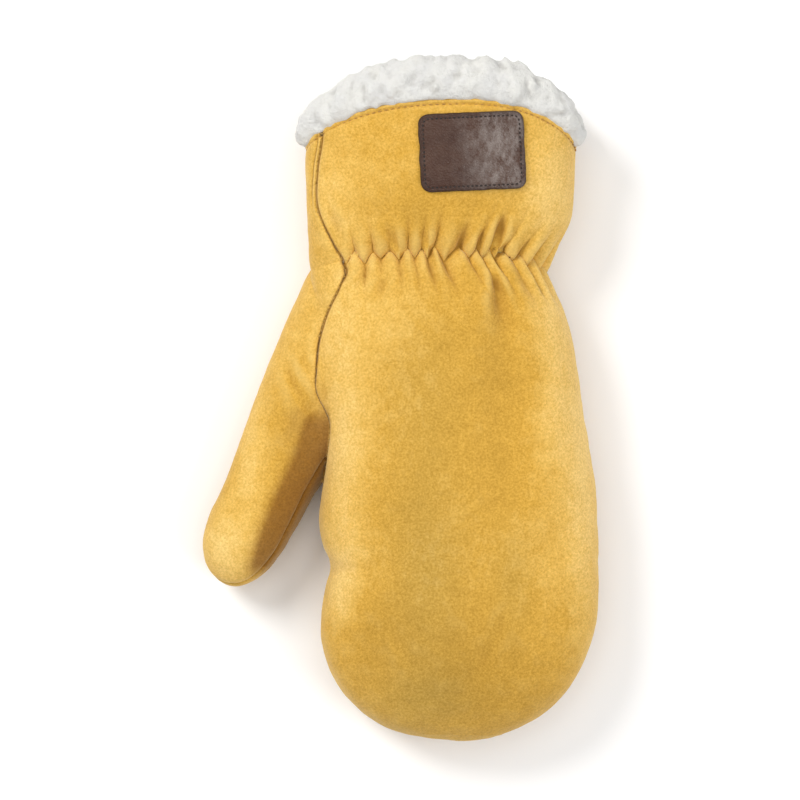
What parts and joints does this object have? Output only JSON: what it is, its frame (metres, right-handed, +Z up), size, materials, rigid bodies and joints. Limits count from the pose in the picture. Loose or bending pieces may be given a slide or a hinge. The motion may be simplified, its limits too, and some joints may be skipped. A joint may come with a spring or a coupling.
{
  "type": "leather palm work mitt",
  "caption": "Left-hand winter work mitt of suede leather with a gathered wrist, a separate thumb, a pile trim at the cuff and a bare leather label.",
  "frame": {"origin": "on the floor, on the flat underside of the palm, under its middle", "axes": "+Y from the fingertips to the cuff, +Z up through the back of the hand, the thumb towards -X"},
  "size_m": [0.1676, 0.29, 0.0644],
  "materials": {
    "suede": "napped golden-yellow suede",
    "welt": "napped suede, worn darker along the seam",
    "pile": "clumped white pile",
    "label": "smooth dark brown leather, stitched round the edge"
  },
  "bodies": {
    "root": {"back_panel": "suede", "palm_panel": "suede", "thumb_panel": "suede", "seam_welt": "welt", "pile_trim": "pile", "label_patch": "label"}
  },
  "joints": []
}
